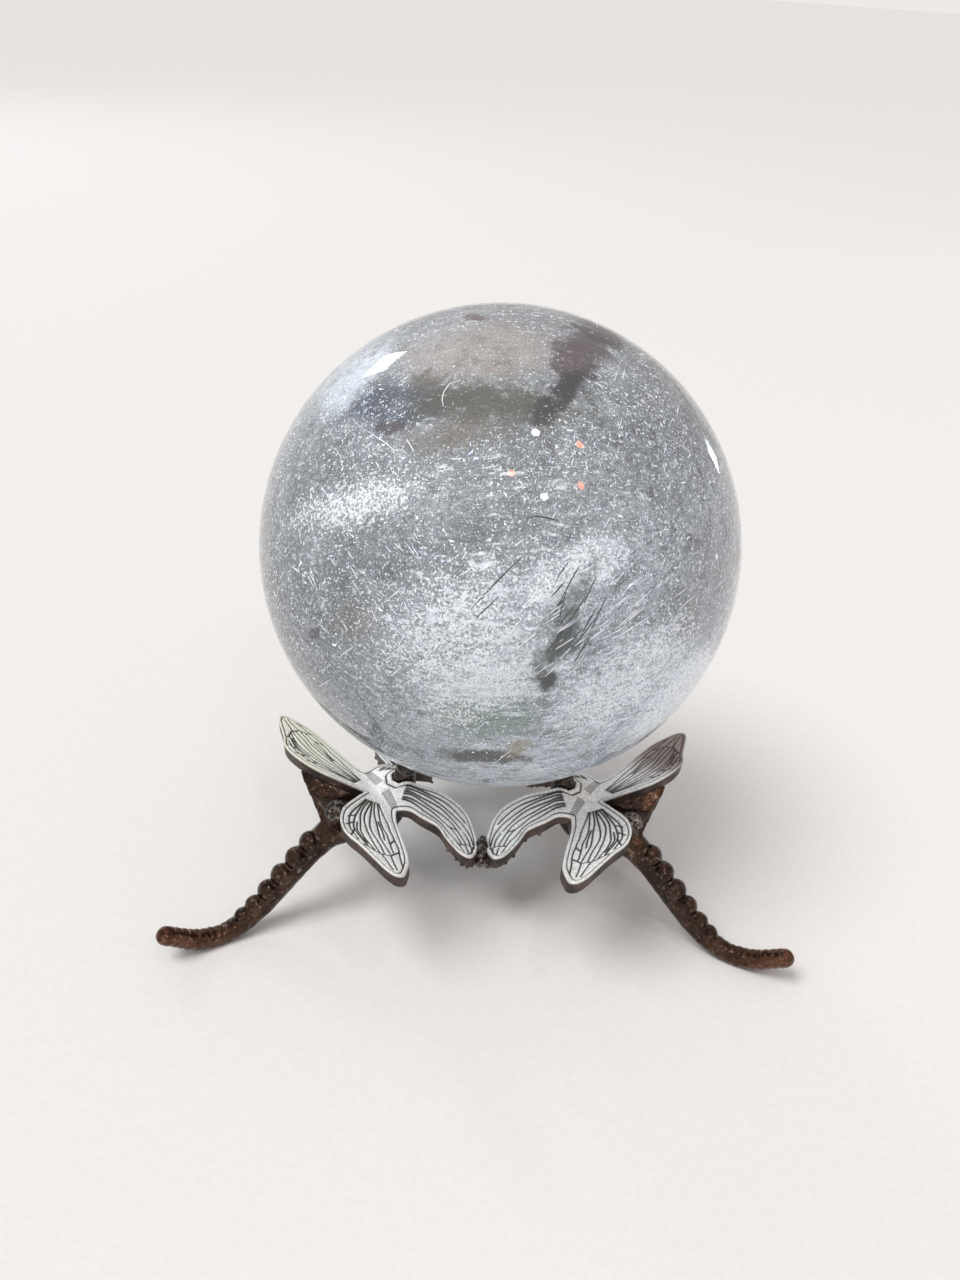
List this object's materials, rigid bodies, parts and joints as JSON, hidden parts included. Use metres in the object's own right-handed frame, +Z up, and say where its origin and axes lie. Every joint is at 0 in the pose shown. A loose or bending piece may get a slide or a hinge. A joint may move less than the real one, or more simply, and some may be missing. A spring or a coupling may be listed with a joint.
{
  "type": "crystal ball on stand",
  "caption": "Polished rock crystal ball resting on a cast dragonfly stand; the ball is loose and lifts off.",
  "frame": {"origin": "middle of the footprint box, on the surface the feet stand on", "axes": "+Z up; +X to the right of the side with two legs in front; +Y away from that side, towards the single back leg"},
  "size_m": [0.1036, 0.097, 0.1008],
  "materials": {
    "rock_crystal": "polished, clear to milky, with veils and dark inclusions",
    "wing_casting": "bright nickel on the veined tops, dark patina on the walls",
    "body_casting": "polished antique copper plate with dark recesses",
    "solder": "lumpy, darkened, with bright grains"
  },
  "bodies": {
    "stand": {"wings_left": "wing_casting", "body_leg_left": "body_casting", "body_solder_left": "solder", "wings_right": "wing_casting", "body_leg_right": "body_casting", "body_solder_right": "solder", "wings_back": "wing_casting", "body_leg_back": "body_casting", "body_solder_back": "solder", "tip_solder_front": "solder", "tip_solder_right": "solder", "tip_solder_left": "solder"},
    "ball": {"crystal_ball": "rock_crystal"}
  },
  "joints": [
    {"name": "ball_lift", "type": "slide", "parent": "stand", "child": "ball", "axis": [0, 0, 1], "range_m": [0, 0.04]}
  ]
}
